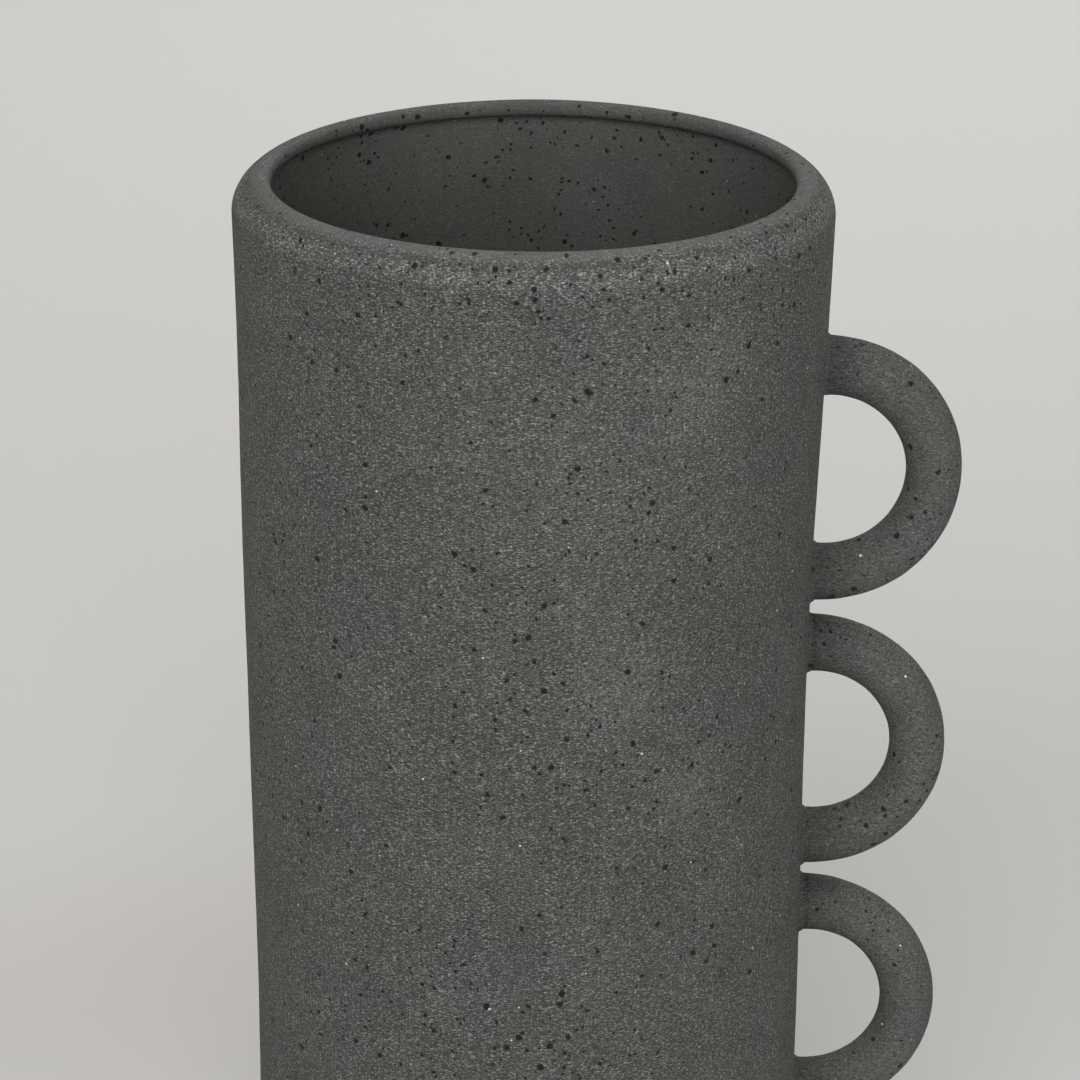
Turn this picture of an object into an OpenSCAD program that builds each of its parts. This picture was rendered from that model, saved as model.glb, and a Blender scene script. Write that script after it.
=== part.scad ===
// Stoneware vase with a column of ring handles.
// Millimetres, +Z up, origin at the centre of the flat underside, handles on +X.

/* [Body] */

// Overall height, underside to the crest of the lip
vase_height = 246; // [180:1:360]

// Outer radius of the lower body
body_radius = 57.5; // [40:0.1:90]

// Outer radius where the shoulder of the lip begins
shoulder_radius = 59.7; // [42:0.1:95]

// Height at which the gentle flare begins
flare_start = 66; // [20:1:150]

// Thickness of the thrown wall
wall_thickness = 5.5; // [3:0.1:10]

// Thickness of the base slab
base_thickness = 7; // [4:0.5:14]

// Rounding of the lower outside edge
foot_rounding = 1.5; // [0.5:0.1:3]

/* [Lip] */

// Radius of the rounded shoulder that turns inward
shoulder_rounding = 7.8; // [4:0.1:12]

// Clear radius of the mouth
mouth_radius = 51.9; // [36:0.1:88]

// Radius of the soft inner edge of the mouth
mouth_rounding = 1.8; // [1:0.1:3]

// Radius of the hollow under the mouth edge
undercut_rounding = 2.4; // [1:0.1:4]

/* [Handles] */

// Radius of the clay coil
coil_radius = 5.7; // [3:0.1:9]

// Radius of the bend, to the middle of the coil
bend_radius = 22; // [14:0.5:32]

// Distance between neighbouring handles
handle_pitch = 59.7; // [40:0.1:90]

// Height of the middle of the lowest handle
lowest_handle = 64.2; // [35:0.1:120]

// Straight length of the coil before it bends
coil_leg = 1.5; // [1.2:0.1:6]

/* [Slip seams] */

// How far the slip stands out around the coil
seam_spread = 1.1; // [0.5:0.1:2]

// How far the slip climbs along the coil
seam_length = 0.9; // [0.4:0.1:1.2]

/* [Hidden] */

$fn = 96;

// Node to draw

// The mouth circle sits inside the shoulder circle and touches it where the lip crests
crest_radius = mouth_radius + mouth_rounding;
crest_height = vase_height - mouth_rounding;
shoulder_centre = shoulder_radius - shoulder_rounding;
crest_reach = crest_radius - shoulder_centre;
crest_rise = sqrt(pow(shoulder_rounding - mouth_rounding, 2) - pow(crest_reach, 2));
crest_angle = atan2(crest_rise, crest_reach);
shoulder_height = crest_height - crest_rise;
flare_steps = 8;
clay = [0.27, 0.27, 0.26];
slip = [0.22, 0.22, 0.21];

upper_height = lowest_handle + 2 * handle_pitch;
middle_height = lowest_handle + handle_pitch;
lower_height = lowest_handle;

// Outer radius of the body at a height, flaring as the square of the distance
function body_at(z) =
    body_radius + (shoulder_radius - body_radius)
    * pow(max(0, z - flare_start) / (shoulder_height - flare_start), 2);

// Heights of the wall outline from the bottom edge up to the shoulder
function wall_heights(bottom) =
    concat([bottom], [for (i = [0:flare_steps])
        flare_start + i * (shoulder_height - flare_start) / flare_steps]);

// Outline of the solid body, drawn inward by a thickness
module body_outline(bottom, inward) {
    heights = wall_heights(bottom);
    side = [for (z = heights) [body_at(z) - inward, z]];
    polygon(concat([[0, bottom]], side, [[0, shoulder_height]]));
}

module solid_body() {
    rotate_extrude($fn = 360) body_outline(base_thickness, 0);
}

// Flat disc with a rounded lower edge
module base_slab() {
    color(clay)
    rotate_extrude() {
        translate([0, foot_rounding])
            square([body_radius, base_thickness - foot_rounding]);
        square([body_radius - foot_rounding, foot_rounding]);
        intersection() {
            translate([body_radius - foot_rounding, foot_rounding])
                circle(r = foot_rounding);
            translate([body_radius - foot_rounding, 0])
                square([foot_rounding, foot_rounding]);
        }
    }
}

// Thrown wall, open at both ends
module wall() {
    color(clay)
    rotate_extrude()
    difference() {
        body_outline(base_thickness, 0);
        body_outline(base_thickness, wall_thickness);
    }
}

// Ring that turns in over the shoulder, rounds at the mouth and hollows beneath it
module lip() {
    inner_radius = shoulder_radius - wall_thickness;
    undercut_height = vase_height - 2 * mouth_rounding - 0.8 * undercut_rounding;
    color(clay)
    rotate_extrude()
    union() {
        difference() {
            intersection() {
                translate([shoulder_centre, shoulder_height]) circle(r = shoulder_rounding);
                translate([shoulder_centre, shoulder_height])
                    square([shoulder_rounding, shoulder_rounding]);
            }
            translate([shoulder_centre, shoulder_height])
                rotate(crest_angle) square([2 * shoulder_rounding, 2 * shoulder_rounding]);
            translate([inner_radius - undercut_rounding, undercut_height])
                circle(r = undercut_rounding);
            translate([shoulder_centre - 1, shoulder_height - 1])
                square([inner_radius - shoulder_centre + 1, undercut_height - shoulder_height + 1]);
        }
        translate([crest_radius, crest_height]) circle(r = mouth_rounding);
    }
}

// Where a handle's bend starts, rounded so that its straight stubs meet it exactly
function bend_start(height) = round(100 * (body_at(height) + coil_leg)) / 100;

// Straight stub of coil that reaches into the wall before it is trimmed
module coil_stub(height, reach) {
    translate([body_radius - 4, 0, height])
        rotate([0, 90, 0]) cylinder(r = coil_radius, h = reach - body_radius + 4);
}

// Half ring of coil with its two ends trimmed to the curve of the wall
module handle(height) {
    middle = bend_start(height);
    color(clay)
    difference() {
        union() {
            translate([middle, 0, height])
                rotate([90, 0, 0])
                    rotate([0, 0, -90])
                        rotate_extrude(angle = 180) translate([bend_radius, 0]) circle(r = coil_radius);
            coil_stub(height + bend_radius, middle);
            coil_stub(height - bend_radius, middle);
        }
        solid_body();
    }
}

// Bead of slip pressed around a coil end where it meets the wall
module slip_seam(height) {
    start = body_at(height) - 1;
    color(slip)
    difference() {
        translate([start, 0, height])
            rotate([0, 90, 0])
                cylinder(r1 = coil_radius + seam_spread, r2 = coil_radius + 0.15, h = 1 + seam_length);
        translate([start - 1, 0, height])
            rotate([0, 90, 0]) cylinder(r = coil_radius, h = 4 + seam_length);
        solid_body();
    }
}

module handle_upper() { handle(upper_height); }
module handle_middle() { handle(middle_height); }
module handle_lower() { handle(lower_height); }

module seam_upper_top() { slip_seam(upper_height + bend_radius); }
module seam_upper_bottom() { slip_seam(upper_height - bend_radius); }
module seam_middle_top() { slip_seam(middle_height + bend_radius); }
module seam_middle_bottom() { slip_seam(middle_height - bend_radius); }
module seam_lower_top() { slip_seam(lower_height + bend_radius); }
module seam_lower_bottom() { slip_seam(lower_height - bend_radius); }

base_slab();
wall();
lip();
handle_upper();
handle_middle();
handle_lower();
seam_upper_top();
seam_upper_bottom();
seam_middle_top();
seam_middle_bottom();
seam_lower_top();
seam_lower_bottom();
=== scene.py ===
"""Stoneware vase with a column of ring handles: thrown body, three coil handles and their slip seams."""
import math

import bmesh
import bpy
from bpy.props import FloatProperty, FloatVectorProperty, IntProperty, PointerProperty
from bpy.types import Operator, Panel, PropertyGroup
from mathutils import Euler, Matrix, Quaternion, Vector, noise


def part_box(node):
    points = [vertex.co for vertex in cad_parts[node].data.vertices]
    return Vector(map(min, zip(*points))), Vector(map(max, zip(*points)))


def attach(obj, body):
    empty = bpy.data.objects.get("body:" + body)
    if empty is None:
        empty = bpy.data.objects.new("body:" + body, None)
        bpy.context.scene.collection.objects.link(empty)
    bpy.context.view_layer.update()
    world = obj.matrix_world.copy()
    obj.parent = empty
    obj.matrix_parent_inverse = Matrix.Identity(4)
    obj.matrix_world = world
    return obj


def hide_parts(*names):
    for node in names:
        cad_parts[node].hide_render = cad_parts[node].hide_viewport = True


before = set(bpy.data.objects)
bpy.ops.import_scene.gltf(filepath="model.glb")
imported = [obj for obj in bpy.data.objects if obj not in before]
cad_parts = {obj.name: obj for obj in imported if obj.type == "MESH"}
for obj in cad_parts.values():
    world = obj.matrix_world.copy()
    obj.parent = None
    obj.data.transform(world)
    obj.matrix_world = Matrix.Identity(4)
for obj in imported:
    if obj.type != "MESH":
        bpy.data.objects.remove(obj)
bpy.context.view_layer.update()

bl_info = {
    "name": "Stoneware Handle Vase",
    "version": (1, 0, 0),
    "blender": (4, 5, 0),
    "location": "View3D > Sidebar > Vase",
    "description": "Builds a stoneware vase with ring handles around its CAD frame",
    "category": "Object",
}

MM = 0.001
BASE_HIGH = Vector(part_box("base_slab")[1])
LIP_LOW, LIP_HIGH = (Vector(c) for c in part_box("lip"))
HANDLE_LOW, HANDLE_HIGH = (Vector(c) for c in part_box("handle_lower"))
COIL_RADIUS = (HANDLE_HIGH.y - HANDLE_LOW.y) / 2
BEND_RADIUS = (HANDLE_HIGH.z - HANDLE_LOW.z) / 2 - COIL_RADIUS
HANDLE_NAMES = ("upper", "middle", "lower")

# points closer together than this are merged
MERGE = 0.002 * MM

# depth of the part of the lip that dips and wanders up and down
LIP_DEPTH = 8 * MM

# size of each wave of the thrown surface, its part of the whole unevenness and its seed
WANDERS = ((55 * MM, 1.0, 3), (9 * MM, 0.22, 11), (2.6 * MM, 0.16, 19))


# ---------------------------------------------------------------- sizes and colours

class VASE_PG_body(PropertyGroup):
    """Sizes of the thrown body."""
    height: FloatProperty(
        name="Height", description="Underside to the crest of the lip",
        default=LIP_HIGH.z, unit="LENGTH")
    radius: FloatProperty(
        name="Body Radius", description="Outer radius of the lower body",
        default=BASE_HIGH.y, unit="LENGTH")
    shoulder_radius: FloatProperty(
        name="Shoulder Radius", description="Outer radius where the lip turns inward",
        default=LIP_HIGH.y, unit="LENGTH")
    flare_start: FloatProperty(
        name="Flare Start", description="Height at which the body begins to widen",
        default=66 * MM, unit="LENGTH")
    wall: FloatProperty(
        name="Wall", description="Thickness of the thrown wall",
        default=5.5 * MM, unit="LENGTH")
    base: FloatProperty(
        name="Base", description="Thickness of the bottom",
        default=BASE_HIGH.z, unit="LENGTH")
    foot_rounding: FloatProperty(
        name="Foot Rounding", description="Rounding of the lower outside edge",
        default=1.5 * MM, unit="LENGTH")
    shoulder_rounding: FloatProperty(
        name="Shoulder Rounding", description="Rounding of the outer edge of the lip",
        default=7.8 * MM, unit="LENGTH")
    mouth_radius: FloatProperty(
        name="Mouth Radius", description="Clear radius of the mouth",
        default=51.9 * MM, unit="LENGTH")
    mouth_rounding: FloatProperty(
        name="Mouth Rounding", description="Rounding of the inner edge of the lip",
        default=1.8 * MM, unit="LENGTH")
    floor_rounding: FloatProperty(
        name="Floor Rounding", description="Rounding inside, where the wall meets the bottom",
        default=5 * MM, unit="LENGTH")
    undercut: FloatProperty(
        name="Undercut", description="Rounding of the hollow beneath the lip",
        default=2.4 * MM, unit="LENGTH")
    lean: FloatProperty(
        name="Lean", description="How far the middle of the body bows away from the handles",
        default=0.38 * MM, unit="LENGTH")
    bow_middle: FloatProperty(
        name="Bow Middle", description="Height at which the bow is deepest",
        default=150 * MM, unit="LENGTH")
    bow_length: FloatProperty(
        name="Bow Length", description="Height over which the bow swings to the other side",
        default=90 * MM, unit="LENGTH")
    lip_dip: FloatProperty(
        name="Lip Dip", description="How far the lip sinks at its back",
        default=0.35 * MM, unit="LENGTH")
    unevenness: FloatProperty(
        name="Unevenness", description="How far the thrown surface wanders from a true circle",
        default=0.22 * MM, unit="LENGTH")
    segments: IntProperty(
        name="Segments", description="Steps around the body",
        default=288, min=48, max=400)


class VASE_PG_handles(PropertyGroup):
    """Sizes of the coil handles."""
    coil: FloatProperty(
        name="Coil Radius", description="Radius of the rolled coil",
        default=COIL_RADIUS, unit="LENGTH")
    bend: FloatProperty(
        name="Bend Radius", description="Radius of the bend to the middle of the coil",
        default=BEND_RADIUS, unit="LENGTH")
    root_spread: FloatProperty(
        name="Root Spread", description="How much the coil widens where it is pressed on",
        default=0.3 * MM, unit="LENGTH")
    stretch: FloatProperty(
        name="Upper Stretch", description="How much taller the upper handle was bent",
        default=0.8 * MM, unit="LENGTH")
    unevenness: FloatProperty(
        name="Unevenness", description="How far the coil wanders from round",
        default=0.16 * MM, unit="LENGTH")
    sides: IntProperty(
        name="Sides", description="Steps around the coil",
        default=56, min=16, max=96)


class VASE_PG_clay(PropertyGroup):
    """Colours and grain of the fired clay."""
    body_color: FloatVectorProperty(
        name="Clay", description="Fired charcoal clay",
        default=(0.062, 0.063, 0.0567), subtype="COLOR", min=0, max=1)
    coil_color: FloatVectorProperty(
        name="Coil Clay", description="Smoothed clay of the handles",
        default=(0.067, 0.069, 0.062), subtype="COLOR", min=0, max=1)
    # darker than the coil clay: painted shade for the crease where each handle meets the body
    slip_crease_shade_color: FloatVectorProperty(
        name="Slip", description="Darker slip pressed round the roots of the handles",
        default=(0.044, 0.045, 0.041), subtype="COLOR", min=0, max=1)
    # pale grains, also carrying painted glints
    grit_color: FloatVectorProperty(
        name="Pale Grit", description="Pale grains in the clay",
        default=(0.375, 0.380, 0.345), subtype="COLOR", min=0, max=1)
    # near black: painted shade inside the burnt-out pits
    pit_shade_color: FloatVectorProperty(
        name="Pits", description="Burnt-out pits",
        default=(0.006, 0.006, 0.006), subtype="COLOR", min=0, max=1)
    gap_color: FloatVectorProperty(
        name="Gaps", description="Shadowed hollows between the grains",
        default=(0.020, 0.020, 0.018), subtype="COLOR", min=0, max=1)
    speck_color: FloatVectorProperty(
        name="Specks", description="Rare bright specks",
        default=(0.55, 0.54, 0.50), subtype="COLOR", min=0, max=1)
    violet_color: FloatVectorProperty(
        name="Violet Bloom", description="Faint violet patches left by the kiln",
        default=(0.064, 0.060, 0.071), subtype="COLOR", min=0, max=1)
    smudge_color: FloatVectorProperty(
        name="Dry Smudges", description="Pale dusty smudges",
        default=(0.135, 0.135, 0.122), subtype="COLOR", min=0, max=1)
    grit_spacing: FloatProperty(
        name="Grit Spacing", description="Typical distance between grains",
        default=0.66 * MM, unit="LENGTH")
    pit_spacing: FloatProperty(
        name="Pit Spacing", description="Typical distance between pits",
        default=3.8 * MM, unit="LENGTH")


class VASE_PG_studio(PropertyGroup):
    """Floor, light and camera."""
    floor_color: FloatVectorProperty(
        name="Floor", description="Pale seamless paper",
        default=(0.545, 0.538, 0.526), subtype="COLOR", min=0, max=1)
    key_power: FloatProperty(
        name="Key Light", description="Power of the large soft light, in watts", default=46)
    fill_power: FloatProperty(
        name="Fill Light", description="Power of the weaker light opposite, in watts", default=9)
    back_power: FloatProperty(
        name="Back Light", description="Power of the light on the paper behind, in watts", default=24)
    sky: FloatProperty(
        name="Sky", description="Strength of the even light from above", default=0.27)
    distance: FloatProperty(
        name="Camera Distance", description="Level distance from the axis to the camera",
        default=0.75372, unit="LENGTH")
    above_lip: FloatProperty(
        name="Camera Above Lip", description="Height of the camera above the lip",
        default=0.22054, unit="LENGTH")
    turn: FloatProperty(
        name="Camera Turn", description="Angle of the camera around the vase",
        default=math.radians(1.351), subtype="ANGLE")
    tilt: FloatProperty(
        name="Camera Tilt", description="Downward tilt of the camera",
        default=math.radians(21.6415), subtype="ANGLE")
    aside: FloatProperty(
        name="Camera Aside", description="How far the camera looks past the axis",
        default=math.radians(0.1643), subtype="ANGLE")
    roll: FloatProperty(
        name="Camera Roll", description="Roll of the camera about its own axis",
        default=math.radians(0.5019), subtype="ANGLE")
    lens: FloatProperty(
        name="Lens", description="Focal length for a 36 mm wide sensor, in millimetres",
        default=132.06)


# ---------------------------------------------------------------- shaping helpers

def flare(body, z):
    """How much wider the body is at this height than at its foot."""
    t = min(1.0, max(0.0, (z - body.flare_start) / (LIP_LOW.z - body.flare_start)))
    return (body.shoulder_radius - body.radius) * t * t


def lean(body, z):
    """Slight sideways bow of the whole pot, toward the handles at the lip and the foot."""
    return -body.lean * math.cos(math.pi * (z - body.bow_middle) / body.bow_length)


def wander(point, size, amount, seed):
    """Smooth offset between -amount and +amount that changes over about the given size."""
    return amount * noise.noise(point / size + Vector((seed, seed * 0.7, seed * 1.3)))


def draw_line(bm, start, r, z, step=2.1 * MM):
    """Continues an outline straight to a point, in even steps."""
    begin = start.co.copy()
    goal = Vector((r, 0.0, z))
    count = max(1, round((goal - begin).length / step))
    for number in range(1, count + 1):
        vert = bm.verts.new(begin.lerp(goal, number / count))
        bm.edges.new((start, vert))
        start = vert
    return start


def draw_arc(bm, start, r, z, degrees, steps):
    """Continues an outline round a centre; positive degrees turn from outward to upward."""
    made = bmesh.ops.spin(
        bm, geom=[start], cent=(r, 0, z), axis=(0, -1, 0), angle=math.radians(degrees),
        steps=steps, use_merge=False, use_duplicate=False)
    return next(v for v in made["geom_last"] if isinstance(v, bmesh.types.BMVert))


def spin_round(bm, centre, axis, steps):
    """Turns a drawn outline all the way round and closes it on itself."""
    bmesh.ops.spin(
        bm, geom=bm.verts[:] + bm.edges[:], cent=centre, axis=axis,
        angle=2 * math.pi, steps=steps, use_merge=True, use_duplicate=False)
    bmesh.ops.remove_doubles(bm, verts=bm.verts, dist=MERGE)


def finish_piece(bm, name, material, nodes):
    """Turns a finished bmesh into a piece that stands for CAD nodes and rides on the body."""
    body = bpy.context.scene.vase_body
    for vert in bm.verts:
        vert.co.x += lean(body, vert.co.z)
    bmesh.ops.recalc_face_normals(bm, faces=bm.faces)
    for face in bm.faces:
        face.smooth = True
    mesh = bpy.data.meshes.new(name)
    bm.to_mesh(mesh)
    bm.free()
    mesh.materials.append(material)
    piece = bpy.data.objects.new(name, mesh)
    bpy.context.scene.collection.objects.link(piece)
    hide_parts(*nodes)
    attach(piece, "root")
    return piece


# ---------------------------------------------------------------- clay materials

# pale rubbed spots: degrees round from the front toward the handles, height and reach in
# millimetres, strength
DRY_SPOTS = (
    (30, 213, 13, 0.8),
    (33, 219, 15, 0.9),
    (37, 225, 13, 0.8),
    (19, 159, 17, 0.7),
    (34, 132, 9, 0.7),
    (10, 176, 12, 0.6),
    (16, 205, 48, 0.35),
)

# heights between which each zone of the lip sets in or dies away; the last three bound painted
# highlights on the shoulder and on the crest
PITTED_RIM = (228 * MM, 238 * MM)
CREST = (243.5 * MM, 245.5 * MM)
HIGHLIGHT_FROM = (239.2 * MM, 241.5 * MM)
HIGHLIGHT_TO = (242.8 * MM, 244.2 * MM)
CREST_HIGHLIGHT = (244.4 * MM, 245.3 * MM)

# depths from front to back between which the painted highlight on the crest grows weaker
CREST_HIGHLIGHT_BACK = (-10 * MM, 45 * MM)

# distances from the axis between which the inside turns to the coarser outside, and between which
# a coil gets clear of the painted shade near its root, where the body shadows it
OUTSIDE = (54.8 * MM, 57.8 * MM)
ROOT_SHADE_REACH = (59 * MM, 71 * MM)


def new_group(name, inputs, outputs):
    """Empty shader node group with float or vector inputs and float outputs."""
    group = bpy.data.node_groups.new(name, "ShaderNodeTree")
    for label, kind, default in inputs:
        socket = group.interface.new_socket(name=label, in_out="INPUT", socket_type=kind)
        if default is not None:
            socket.default_value = default
    for label in outputs:
        group.interface.new_socket(name=label, in_out="OUTPUT", socket_type="NodeSocketFloat")
    start = group.nodes.new("NodeGroupInput")
    end = group.nodes.new("NodeGroupOutput")
    return group, start, end


def wire(tree, value, target):
    """Joins an output socket to the target input, or sets the input to a plain value."""
    if isinstance(value, bpy.types.NodeSocket):
        tree.links.new(value, target)
    else:
        target.default_value = value


def math_node(tree, operation, a, b):
    """Math node; a and b are sockets or numbers."""
    node = tree.nodes.new("ShaderNodeMath")
    node.operation = operation
    for socket, value in zip(node.inputs, (a, b)):
        wire(tree, value, socket)
    return node.outputs[0]


def vector_node(tree, operation, *values, scale=None):
    """Vector Math node; values are vector sockets or triples, scale is a socket or a number."""
    node = tree.nodes.new("ShaderNodeVectorMath")
    node.operation = operation
    for socket, value in zip(node.inputs, values):
        wire(tree, value, socket)
    if scale is not None:
        wire(tree, scale, node.inputs["Scale"])
    return node.outputs["Value" if operation in ("DISTANCE", "LENGTH") else "Vector"]


def range_node(tree, value, low, high, to_low=0.0, to_high=1.0, smooth=True):
    """Map Range node from low..high to to_low..to_high; each limit is a socket or a number."""
    node = tree.nodes.new("ShaderNodeMapRange")
    node.interpolation_type = "SMOOTHSTEP" if smooth else "LINEAR"
    wire(tree, value, node.inputs["Value"])
    limits = (("From Min", low), ("From Max", high), ("To Min", to_low), ("To Max", to_high))
    for label, number in limits:
        wire(tree, number, node.inputs[label])
    return node.outputs["Result"]


def cells_node(tree, vector, scale):
    """Voronoi cells: gives the distance socket and two random numbers of each cell."""
    node = tree.nodes.new("ShaderNodeTexVoronoi")
    node.voronoi_dimensions = "3D"
    node.feature = "F1"
    node.inputs["Scale"].default_value = scale
    node.inputs["Randomness"].default_value = 1.0
    wire(tree, vector, node.inputs["Vector"])
    split = tree.nodes.new("ShaderNodeSeparateColor")
    wire(tree, node.outputs["Color"], split.inputs["Color"])
    return node.outputs["Distance"], split.outputs[0], split.outputs[1]


def noise_node(tree, vector, scale, detail, roughness):
    """Noise Texture node; a larger scale gives smaller patches."""
    node = tree.nodes.new("ShaderNodeTexNoise")
    node.inputs["Scale"].default_value = scale
    node.inputs["Detail"].default_value = detail
    node.inputs["Roughness"].default_value = roughness
    wire(tree, vector, node.inputs["Vector"])
    return node


def build_grit_group(clay):
    """Dense fine grains: paleness of each grain with painted glints, painted shade in the gaps, bright
    specks and surface height.
    """
    group, start, end = new_group(
        "clay_grit", [("Vector", "NodeSocketVector", None)], ("Pale", "Gap", "Speck", "Height"))
    stretch = group.nodes.new("ShaderNodeMapping")
    stretch.inputs["Scale"].default_value = (1.0, 1.0, 2.3)
    wire(group, start.outputs["Vector"], stretch.inputs["Vector"])
    vector = stretch.outputs["Vector"]
    rate = 1.0 / clay.grit_spacing

    near, pick, size = cells_node(group, vector, rate)
    dome = range_node(group, near, 0.10, 0.66, 1.0, 0.0)
    chosen = range_node(group, pick, 0.45, 1.0, 0.0, 0.75)
    pale = math_node(group, "MULTIPLY", dome, chosen)
    fine = noise_node(group, vector, rate * 1.1, 3.0, 0.65).outputs["Fac"]
    pale = math_node(group, "MULTIPLY", pale, range_node(group, fine, 0.40, 0.62, 0.2, 1.4))
    # painted glints: pale streaks where raking light would catch the tops of the grains
    painted_glint = range_node(group, fine, 0.54, 0.68, 0.0, 0.60)
    wire(group, math_node(group, "MAXIMUM", pale, painted_glint), end.inputs["Pale"])
    wire(group, range_node(group, fine, 0.36, 0.49, 1.0, 0.0), end.inputs["Gap"])

    spark, spark_pick, spark_size = cells_node(group, start.outputs["Vector"], rate * 0.45)
    reach = range_node(group, spark_size, 0.0, 1.0, 0.08, 0.20)
    spot = math_node(group, "LESS_THAN", spark, reach)
    rare = math_node(group, "GREATER_THAN", spark_pick, 0.982)
    speck = math_node(group, "MULTIPLY", spot, rare)
    wire(group, speck, end.inputs["Speck"])

    height = math_node(group, "MULTIPLY", dome, range_node(group, size, 0.0, 1.0, 0.2, 1.0))
    height = math_node(group, "ADD", height, math_node(group, "MULTIPLY", fine, 1.1))
    wire(group, height, end.inputs["Height"])
    return group


def build_pit_group(clay):
    """Irregular burnt-out pits: how deep each one is, from 0 on the surface to 1 at its bottom."""
    group, start, end = new_group(
        "clay_pits",
        [("Vector", "NodeSocketVector", None), ("Amount", "NodeSocketFloat", 0.5)],
        ("Pit",))
    rate = 1.0 / clay.pit_spacing
    vector = start.outputs["Vector"]
    shake = noise_node(group, vector, 1400.0, 2.0, 0.6).outputs["Color"]
    shake = vector_node(group, "SUBTRACT", shake, (0.5, 0.5, 0.5))
    moved = vector_node(group, "ADD", vector, vector_node(group, "SCALE", shake, scale=0.95 * MM))

    total = None
    amount = start.outputs["Amount"]
    crowded = math_node(group, "MULTIPLY", math_node(group, "SUBTRACT", amount, 0.55), 2.0)
    # how close the pits lie, least and greatest reach of a pit, share of the cells that hold one
    layers = ((1.0, 0.10, 0.22, amount), (1.9, 0.10, 0.20, amount), (1.35, 0.12, 0.22, crowded))
    for factor, small_reach, big_reach, share in layers:
        near, pick, size = cells_node(group, moved, rate * factor)
        reach = range_node(group, size, 0.0, 1.0, small_reach, big_reach)
        inner = math_node(group, "MULTIPLY", reach, 0.58)
        pit = range_node(group, near, inner, reach, 1.0, 0.0)
        keep = math_node(group, "LESS_THAN", pick, share)
        pit = math_node(group, "MULTIPLY", pit, keep)
        total = pit if total is None else math_node(group, "MAXIMUM", total, pit)
    wire(group, total, end.inputs["Pit"])
    return group


def build_bloom_group():
    """Slow changes over the surface: violet patches, dry smudges, crowded pits, shade, grain, painted
    highlights and where painted root shade fades.
    """
    group, start, end = new_group(
        "clay_bloom",
        [("Vector", "NodeSocketVector", None)],
        ("Violet", "Smudge", "Pit Amount", "Shade", "Coarse", "Clear of Root Shade"))
    vector = start.outputs["Vector"]
    violet = noise_node(group, vector, 42.0, 3.0, 0.55).outputs["Fac"]
    wire(group, range_node(group, violet, 0.50, 0.68), end.inputs["Violet"])
    smudge = noise_node(group, vector, 27.0, 4.0, 0.6).outputs["Fac"]
    grainy = noise_node(group, vector, 900.0, 3.0, 0.6).outputs["Fac"]
    smudge = math_node(group, "MULTIPLY", range_node(group, smudge, 0.60, 0.76), 0.3)
    for degrees, up, size, strength in DRY_SPOTS:
        heading = math.radians(degrees)
        middle = (BASE_HIGH.y * math.sin(heading), -BASE_HIGH.y * math.cos(heading), up * MM)
        away = vector_node(group, "DISTANCE", vector, middle)
        spot = range_node(group, away, 0.0, size * MM, strength, 0.0)
        smudge = math_node(group, "MAXIMUM", smudge, spot)
    smudge = math_node(group, "MULTIPLY", smudge, range_node(group, grainy, 0.35, 0.7, 0.25, 1.0))
    wire(group, smudge, end.inputs["Smudge"])

    gather = noise_node(group, vector, 23.0, 2.0, 0.5).outputs["Fac"]
    amount = range_node(group, gather, 0.36, 0.62, 0.10, 0.75)
    split = group.nodes.new("ShaderNodeSeparateXYZ")
    wire(group, vector, split.inputs["Vector"])
    height = split.outputs["Z"]
    rim = range_node(group, height, *PITTED_RIM)
    below_crest = range_node(group, height, *CREST, 1.0, 0.0)
    rim = math_node(group, "MULTIPLY", rim, below_crest)
    wire(group, math_node(group, "MAXIMUM", amount, rim), end.inputs["Pit Amount"])

    reach = vector_node(group, "LENGTH", vector_node(group, "MULTIPLY", vector, (1, 1, 0)))
    coarse = range_node(group, reach, *OUTSIDE, 0.22, 1.0)
    wire(group, coarse, end.inputs["Coarse"])
    wire(group, range_node(group, reach, *ROOT_SHADE_REACH), end.inputs["Clear of Root Shade"])

    shade = noise_node(group, vector, 70.0, 4.0, 0.6).outputs["Fac"]
    shade = range_node(group, shade, 0.3, 0.7, 0.90, 1.10, smooth=False)
    # painted highlight: a paler band round the outside of the shoulder where it turns toward the lip
    shoulder_highlight = range_node(group, height, *HIGHLIGHT_FROM)
    shoulder_highlight = math_node(group, "MULTIPLY", shoulder_highlight, range_node(group, height, *HIGHLIGHT_TO, 1.0, 0.0))
    shoulder_highlight = math_node(group, "MULTIPLY", shoulder_highlight, coarse)
    shoulder_highlight = range_node(group, shoulder_highlight, 0.0, 1.0, 1.0, 1.36, smooth=False)
    shade = math_node(group, "MULTIPLY", shade, shoulder_highlight)
    # painted highlight on the crest of the lip, strongest at the front and sides
    crest_highlight = range_node(group, split.outputs["Y"], *CREST_HIGHLIGHT_BACK, 0.38, 0.12)
    crest_highlight = math_node(group, "MULTIPLY", crest_highlight, range_node(group, height, *CREST_HIGHLIGHT))
    shade = math_node(group, "MULTIPLY", shade, math_node(group, "ADD", crest_highlight, 1.0))
    wire(group, shade, end.inputs["Shade"])
    return group


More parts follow.
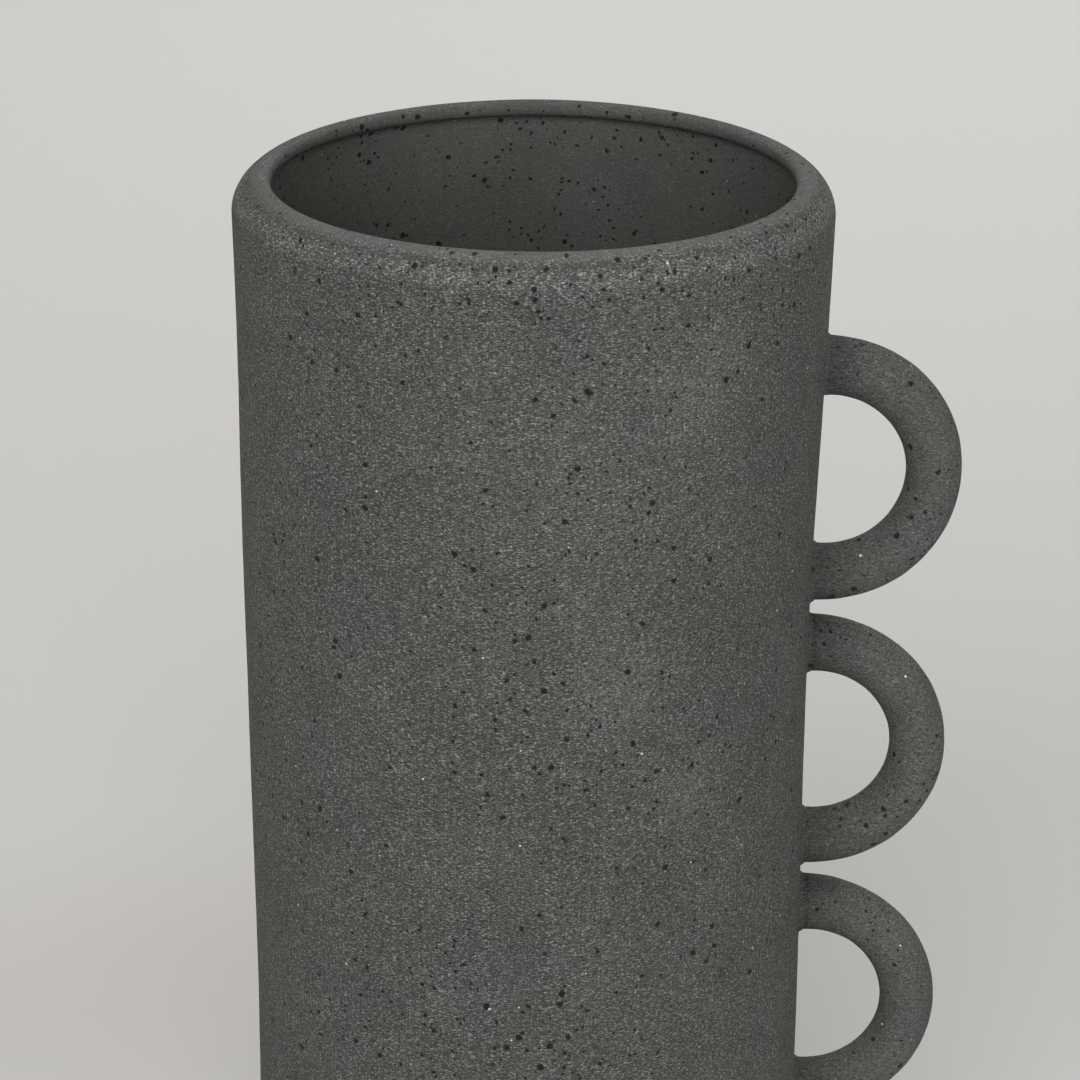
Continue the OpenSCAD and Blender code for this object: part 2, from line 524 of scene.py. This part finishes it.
def build_clay(name, clay, color, groups, *, grit, gaps, pits, relief, roughness, painted_root_shade=1.0):
    """One fired clay finish: colour, roughness and relief from the shared groups.

    grit is the strength of the grains, gaps the least strength of the hollows between them, pits how
    common the pits are, relief how deep the grain is, and the last how dark the painted shade is near
    the body.
    """
    material = bpy.data.materials.new(name)
    material.use_nodes = True
    tree = material.node_tree
    shader = tree.nodes["Principled BSDF"]
    place = tree.nodes.new("ShaderNodeTexCoord").outputs["Object"]

    def use(group):
        node = tree.nodes.new("ShaderNodeGroup")
        node.node_tree = group
        wire(tree, place, node.inputs["Vector"])
        return node

    grit_node, pit_node, bloom_node = (use(group) for group in groups)

    def mix(under, over, factor):
        node = tree.nodes.new("ShaderNodeMix")
        node.data_type = "RGBA"
        wire(tree, factor, node.inputs["Factor"])
        for label, value in (("A", under), ("B", over)):
            socket = next(s for s in node.inputs if s.name == label and s.type == "RGBA")
            wire(tree, value if isinstance(value, bpy.types.NodeSocket) else (*value, 1.0), socket)
        return next(s for s in node.outputs if s.type == "RGBA")

    def times(socket, factor):
        return math_node(tree, "MULTIPLY", socket, factor)

    wire(tree, times(bloom_node.outputs["Pit Amount"], pits), pit_node.inputs["Amount"])
    pale = grit_node.outputs["Pale"]
    coarse = times(bloom_node.outputs["Coarse"], grit)
    gap = times(grit_node.outputs["Gap"], math_node(tree, "MAXIMUM", coarse, gaps))
    tone = mix(color, clay.violet_color, times(bloom_node.outputs["Violet"], 0.65))
    tone = mix(tone, clay.smudge_color, times(bloom_node.outputs["Smudge"], 0.90))
    # painted shade in the gaps between the grains, then pale grit with painted glints on it
    tone = mix(tone, clay.gap_color, times(gap, 0.85))
    tone = mix(tone, clay.grit_color, times(pale, coarse))
    tone = mix(tone, clay.speck_color, grit_node.outputs["Speck"])
    # pits darkened with painted shade
    tone = mix(tone, clay.pit_shade_color, pit_node.outputs["Pit"])
    # painted shade on the coils near their roots, where the body shadows them
    clear = bloom_node.outputs["Clear of Root Shade"]
    root_shadow = range_node(tree, clear, 0.0, 1.0, painted_root_shade, 1.0, smooth=False)
    shade = times(bloom_node.outputs["Shade"], root_shadow)
    wire(tree, vector_node(tree, "SCALE", tone, scale=shade), shader.inputs["Base Color"])

    rough = math_node(tree, "SUBTRACT", roughness, times(pale, 0.25))
    wire(tree, rough, shader.inputs["Roughness"])
    shader.inputs["Specular IOR Level"].default_value = 0.35

    height = times(times(grit_node.outputs["Height"], coarse), relief)
    height = math_node(tree, "SUBTRACT", height, times(pit_node.outputs["Pit"], 2.4))
    bump = tree.nodes.new("ShaderNodeBump")
    bump.inputs["Strength"].default_value = 1.0
    bump.inputs["Distance"].default_value = 0.16 * MM
    wire(tree, height, bump.inputs["Height"])
    wire(tree, bump.outputs["Normal"], shader.inputs["Normal"])
    return material


# painted shadow on the paper, faint and warm, behind the vase and to its left
PAINTED_SHADOW_PLACE = (-95 * MM, 125 * MM, 0)
PAINTED_SHADOW_REACH = 110 * MM
PAINTED_SHADOW_TINT = (0.945, 0.925, 0.905)


# ---------------------------------------------------------------- operators

class VASE_OT_clay(Operator):
    """Mixes the clay finishes used by the body, the handles and the slip seams"""
    bl_idname = "vase.clay"
    bl_label = "Mix Clay"

    def execute(self, context):
        clay = context.scene.vase_clay
        groups = (build_grit_group(clay), build_pit_group(clay), build_bloom_group())
        build_clay(
            "body_stoneware", clay, clay.body_color, groups,
            grit=1.0, gaps=0.25, pits=1.15, relief=2.0, roughness=0.88)
        build_clay(
            # the coils darken toward their roots with painted shade
            "coil_stoneware", clay, clay.coil_color, groups,
            grit=0.36, gaps=1.0, pits=1.9, relief=2.4, roughness=0.86, painted_root_shade=0.66)
        # the slip's darker colour is painted shade in the crease round each root
        build_clay(
            "slip_stoneware", clay, clay.slip_crease_shade_color, groups,
            grit=0.30, gaps=1.0, pits=0.9, relief=1.6, roughness=0.90)
        return {"FINISHED"}


class VASE_OT_body(Operator):
    """Throws the body: bottom, wall and turned-in lip in one closed shell"""
    bl_idname = "vase.body"
    bl_label = "Throw Body"

    def execute(self, context):
        body = context.scene.vase_body
        outer = body.radius
        widening = body.shoulder_radius - body.radius
        inner = outer - body.wall
        foot = body.foot_rounding
        corner = body.floor_rounding
        mouth = body.mouth_radius + body.mouth_rounding - widening
        crest = body.height - body.mouth_rounding
        centre = outer - body.shoulder_rounding
        rise = math.sqrt((body.shoulder_rounding - body.mouth_rounding) ** 2 - (mouth - centre) ** 2)
        turn = math.degrees(math.atan2(rise, mouth - centre))
        under = body.height - 2 * body.mouth_rounding - 0.8 * body.undercut
        hollow = inner - body.undercut

        bm = bmesh.new()
        tip = bm.verts.new((0.0, 0.0, 0.0))
        tip = draw_line(bm, tip, outer - foot, 0.0, 4 * MM)
        tip = draw_arc(bm, tip, outer - foot, foot, 90, 6)
        tip = draw_line(bm, tip, outer, crest - rise)
        tip = draw_arc(bm, tip, centre, crest - rise, turn, 18)
        # over the crest and under the lip, then across the hollow to the inside of the wall
        tip = draw_arc(bm, tip, mouth, crest, 245 - turn, 18)
        tip = draw_line(bm, tip, hollow + 0.5 * body.undercut, under + 0.866 * body.undercut)
        tip = draw_arc(bm, tip, hollow, under, -60, 5)
        tip = draw_line(bm, tip, inner, body.base + corner, 3.4 * MM)
        tip = draw_arc(bm, tip, inner - corner, body.base + corner, -90, 8)
        draw_line(bm, tip, 0.0, body.base, 4 * MM)
        spin_round(bm, (0, 0, 0), (0, 0, 1), body.segments)
        self.shape(bm, body)
        finish_piece(
            bm, "thrown_body", bpy.data.materials["body_stoneware"], ("base_slab", "wall", "lip"))
        return {"FINISHED"}

    def shape(self, bm, body):
        """Widens the body toward the shoulder and lets the surface wander a little."""
        for vert in bm.verts:
            point = vert.co.copy()
            reach = math.hypot(point.x, point.y)
            if reach < 1 * MM:
                continue
            out = Vector((point.x / reach, point.y / reach, 0))
            shift = flare(body, point.z)
            for size, part, seed in WANDERS:
                shift += wander(point, size, body.unevenness * part, seed)
            vert.co += out * shift
            share = (point.z - body.height) / LIP_DEPTH + 1
            if share > 0:
                dip = 0.5 + 0.5 * math.tanh(3 * (out.y + 0.3)) + 0.8 * max(0.0, -out.x)
                vert.co.z += wander(out * 60 * MM, 50 * MM, body.unevenness * 0.9, 7)
                vert.co.z -= body.lip_dip * dip * share


def stretch_rise(coils, name, height, z):
    """How far the upper handle rises at this height; the other two stay as they are."""
    if name != "upper":
        return 0.0
    share = (z - height + coils.bend) / (2 * coils.bend)
    return coils.stretch * min(1.0, max(0.0, share))


def handle_place(node):
    """Height and x of the middle of a handle's bend, from its CAD box."""
    low, high = (Vector(c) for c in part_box(node))
    return (low.z + high.z) / 2, high.x - BEND_RADIUS - COIL_RADIUS


class VASE_OT_handles(Operator):
    """Rolls and bends the three coil handles"""
    bl_idname = "vase.handles"
    bl_label = "Bend Handles"

    def execute(self, context):
        for seed, name in enumerate(HANDLE_NAMES, start=1):
            self.build(context, name, seed)
        return {"FINISHED"}

    def build(self, context, name, seed):
        coils = context.scene.vase_handles
        body = context.scene.vase_body
        height, middle = handle_place(f"handle_{name}")
        inside = body.radius - 2 * MM
        bm = bmesh.new()
        place = Matrix.Translation((inside, 0, height + coils.bend))
        place = place @ Matrix.Rotation(math.pi / 2, 4, "Y")
        bmesh.ops.create_circle(bm, cap_ends=True, segments=coils.sides, radius=coils.coil, matrix=place)
        end = bm.faces[:]
        legs = 5
        for _ in range(legs):
            end = self.push(bm, end, Vector(((middle - inside) / legs, 0, 0)))
        bent = bmesh.ops.spin(
            bm, geom=end, cent=(middle, 0, height), axis=(0, 1, 0),
            angle=math.pi, steps=110, use_merge=False, use_duplicate=False)
        end = [f for f in bent["geom_last"] if isinstance(f, bmesh.types.BMFace)]
        for _ in range(legs):
            end = self.push(bm, end, Vector((-(middle - inside) / legs, 0, 0)))
        bmesh.ops.remove_doubles(bm, verts=bm.verts, dist=MERGE)
        bmesh.ops.holes_fill(bm, edges=[e for e in bm.edges if e.is_boundary], sides=0)
        for vert in bm.verts:
            self.soften(vert, coils, body, Vector((middle, 0, height)), seed)
            vert.co.z += stretch_rise(coils, name, height, vert.co.z)
        nodes = (f"handle_{name}",)
        finish_piece(bm, f"coil_handle_{name}", bpy.data.materials["coil_stoneware"], nodes)

    def push(self, bm, faces, step):
        """Extrudes the end of the coil and returns its new end face."""
        made = bmesh.ops.extrude_face_region(bm, geom=faces)["geom"]
        bmesh.ops.translate(bm, verts=[v for v in made if isinstance(v, bmesh.types.BMVert)], vec=step)
        bmesh.ops.delete(bm, geom=[f for f in faces if f.is_valid], context="FACES_ONLY")
        return [f for f in made if isinstance(f, bmesh.types.BMFace)]

    def soften(self, vert, coils, body, middle, seed):
        """Spreads the coil where it is pressed on and lets its surface wander."""
        point = vert.co.copy()
        offset = point - middle
        if offset.x > 0:
            spine = middle + Vector((offset.x, 0, offset.z)).normalized() * coils.bend
        else:
            spine = Vector((point.x, 0, middle.z + math.copysign(coils.bend, offset.z)))
        out = (point - spine).normalized()
        gap = max(0.0, point.x - body.radius - flare(body, point.z))
        share = 1.0 if offset.z > 0 else 0.35
        shift = coils.root_spread * share * math.exp(-gap / (9 * MM))
        shift += 0.25 * coils.root_spread * math.exp(-gap / (1.0 * MM))
        shift += wander(point, 16 * MM, coils.unevenness, seed * 5.1)
        shift += wander(point, 3.5 * MM, coils.unevenness * 0.35, seed * 2.3)
        vert.co += out * shift


class VASE_OT_seams(Operator):
    """Presses a ragged bead of slip around each end of each handle"""
    bl_idname = "vase.seams"
    bl_label = "Press Slip Seams"

    def execute(self, context):
        seed = 1
        for name in HANDLE_NAMES:
            for end, side in (("top", 1), ("bottom", -1)):
                self.build(context, name, end, side, seed)
                seed += 1
        return {"FINISHED"}

    def build(self, context, name, end, side, seed):
        coils = context.scene.vase_handles
        body = context.scene.vase_body
        height, _ = handle_place(f"handle_{name}")
        root = height + side * coils.bend
        root += stretch_rise(coils, name, height, root)
        wall = body.radius + flare(body, root)
        bm = bmesh.new()
        # each corner: how far out from the wall, and how far from the middle of the coil
        outline = (
            (-1.6 * MM, coils.coil - 0.9 * MM),
            (-1.6 * MM, coils.coil + 0.95 * MM),
            (0.02 * MM, coils.coil + 0.95 * MM),
            (0.22 * MM, coils.coil + 0.62 * MM),
            (0.75 * MM, coils.coil + 0.40 * MM),
            (0.85 * MM, coils.coil - 0.9 * MM),
        )
        verts = [bm.verts.new((wall + x, 0.0, root + r)) for x, r in outline]
        for a, b in zip(verts, verts[1:] + verts[:1]):
            bm.edges.new((a, b))
        bmesh.ops.bevel(
            bm, geom=verts[2:5], offset=0.14 * MM, offset_type="OFFSET", affect="VERTICES",
            segments=3, profile=0.5, material=-1, clamp_overlap=True)
        spin_round(bm, (wall, 0, root), (1, 0, 0), 72)
        centre = Vector((wall, 0, root))
        for vert in bm.verts:
            out = Vector((0, vert.co.y, vert.co.z - root))
            if out.length > coils.coil:
                swell = wander(vert.co, 2.2 * MM, 0.45 * MM, seed * 3.7)
                vert.co += out.normalized() * swell
            curve = math.sqrt(max(0.0, wall * wall - vert.co.y ** 2)) - wall
            vert.co.x += curve + flare(body, vert.co.z) - flare(body, root)
        finish_piece(
            bm, f"slip_seam_{name}_{end}", bpy.data.materials["slip_stoneware"], (f"seam_{name}_{end}",))


class VASE_OT_stage(Operator):
    """Sets the seamless floor, the soft lights and the camera"""
    bl_idname = "vase.stage"
    bl_label = "Set Stage"

    def execute(self, context):
        studio = context.scene.vase_studio
        self.floor(studio)
        self.lights(context, studio)
        self.camera(context, studio)
        context.scene.view_settings.view_transform = "Standard"
        return {"FINISHED"}

    def floor(self, studio):
        """Round paper sweep, flat under the vase and rising all around it."""
        bm = bmesh.new()
        tip = bm.verts.new((0, 0, 0))
        tip = draw_line(bm, tip, 1.6, 0, 0.2)
        tip = draw_arc(bm, tip, 1.6, 1.3, 90, 24)
        draw_line(bm, tip, 2.9, 3.0, 0.3)
        spin_round(bm, (0, 0, 0), (0, 0, 1), 96)
        bmesh.ops.recalc_face_normals(bm, faces=bm.faces)
        for face in bm.faces:
            face.smooth = True
        mesh = bpy.data.meshes.new("paper_sweep")
        bm.to_mesh(mesh)
        bm.free()
        paper = bpy.data.materials.new("pale_paper")
        paper.use_nodes = True
        tree = paper.node_tree
        shader = tree.nodes["Principled BSDF"]
        place = tree.nodes.new("ShaderNodeTexCoord").outputs["Object"]
        # painted shadow: the paper darkens and warms toward a point behind the vase and to its left
        away = vector_node(tree, "DISTANCE", place, PAINTED_SHADOW_PLACE)
        shadowed = range_node(tree, away, 0.0, PAINTED_SHADOW_REACH, 1.0, 0.0)
        tone = tree.nodes.new("ShaderNodeMix")
        tone.data_type = "RGBA"
        wire(tree, shadowed, tone.inputs["Factor"])
        unshadowed, shadow_tone = (s for s in tone.inputs if s.type == "RGBA")
        unshadowed.default_value = (*studio.floor_color, 1)
        shadow_tone.default_value = (*(c * d for c, d in zip(studio.floor_color, PAINTED_SHADOW_TINT)), 1)
        wire(tree, next(s for s in tone.outputs if s.type == "RGBA"), shader.inputs["Base Color"])
        shader.inputs["Roughness"].default_value = 0.95
        shader.inputs["Specular IOR Level"].default_value = 0.1
        mesh.materials.append(paper)
        sweep = bpy.data.objects.new("paper_sweep", mesh)
        bpy.context.scene.collection.objects.link(sweep)

    def lights(self, context, studio):
        """Large soft key in front, weak fill at the right, a light on the paper and an even sky."""
        vase = Vector((0, 0, 0.15))
        behind = Vector((0.1, 1.25, 0))
        for name, power, size, place, target in (
            ("key_light", studio.key_power, 1.9, Vector((-0.32, -1.80, 1.08)), vase),
            ("fill_light", studio.fill_power, 0.9, Vector((1.6, -0.9, 0.45)), vase),
            ("back_light", studio.back_power, 1.2, Vector((0.15, 1.3, 1.65)), behind),
        ):
            data = bpy.data.lights.new(name, "AREA")
            data.energy = power
            data.shape = "SQUARE"
            data.size = size
            light = bpy.data.objects.new(name, data)
            light.location = place
            light.rotation_euler = (target - place).to_track_quat("-Z", "Y").to_euler()
            context.scene.collection.objects.link(light)
        world = bpy.data.worlds.new("soft_sky")
        world.use_nodes = True
        world.node_tree.nodes["Background"].inputs["Color"].default_value = (1, 1, 1, 1)
        world.node_tree.nodes["Background"].inputs["Strength"].default_value = studio.sky
        context.scene.world = world

    def camera(self, context, studio):
        """Long lens, looking down over the lip."""
        data = bpy.data.cameras.new("camera")
        data.sensor_width = 36
        data.lens = studio.lens
        data.clip_end = 50
        camera = bpy.data.objects.new("camera", data)
        lip = context.scene.vase_body.height
        camera.location = (
            studio.distance * math.sin(studio.turn),
            -studio.distance * math.cos(studio.turn),
            lip + studio.above_lip)
        heading = studio.turn - studio.aside
        aim = Euler((math.pi / 2 - studio.tilt, 0, heading)).to_quaternion()
        aim = aim @ Quaternion((0, 0, 1), studio.roll)
        camera.rotation_euler = aim.to_euler()
        context.scene.collection.objects.link(camera)
        context.scene.camera = camera


class VASE_PT_panel(Panel):
    """Lists the steps that build the vase"""
    bl_idname = "VASE_PT_panel"
    bl_label = "Stoneware Vase"
    bl_space_type = "VIEW_3D"
    bl_region_type = "UI"
    bl_category = "Vase"

    def draw(self, context):
        for operator in OPERATORS:
            self.layout.operator(operator.bl_idname)
        for group in ("vase_body", "vase_handles", "vase_clay", "vase_studio"):
            box = self.layout.box()
            settings = getattr(context.scene, group)
            for label in settings.bl_rna.properties.keys():
                if label not in ("rna_type", "name"):
                    box.prop(settings, label)


# ---------------------------------------------------------------- registration and run

OPERATORS = (VASE_OT_clay, VASE_OT_body, VASE_OT_handles, VASE_OT_seams, VASE_OT_stage)
GROUPS = (VASE_PG_body, VASE_PG_handles, VASE_PG_clay, VASE_PG_studio)


def register():
    for item in GROUPS + OPERATORS + (VASE_PT_panel,):
        bpy.utils.register_class(item)
    bpy.types.Scene.vase_body = PointerProperty(type=VASE_PG_body)
    bpy.types.Scene.vase_handles = PointerProperty(type=VASE_PG_handles)
    bpy.types.Scene.vase_clay = PointerProperty(type=VASE_PG_clay)
    bpy.types.Scene.vase_studio = PointerProperty(type=VASE_PG_studio)


def unregister():
    for name in ("vase_body", "vase_handles", "vase_clay", "vase_studio"):
        delattr(bpy.types.Scene, name)
    for item in reversed(GROUPS + OPERATORS + (VASE_PT_panel,)):
        bpy.utils.unregister_class(item)


def run(operator):
    """Runs one operator and stops the script if it doesn't finish."""
    if operator() != {"FINISHED"}:
        raise RuntimeError("a step of the vase did not finish")


def main():
    register()
    run(bpy.ops.vase.clay)
    run(bpy.ops.vase.body)
    run(bpy.ops.vase.handles)
    run(bpy.ops.vase.seams)
    run(bpy.ops.vase.stage)


if __name__ == "__main__":
    main()
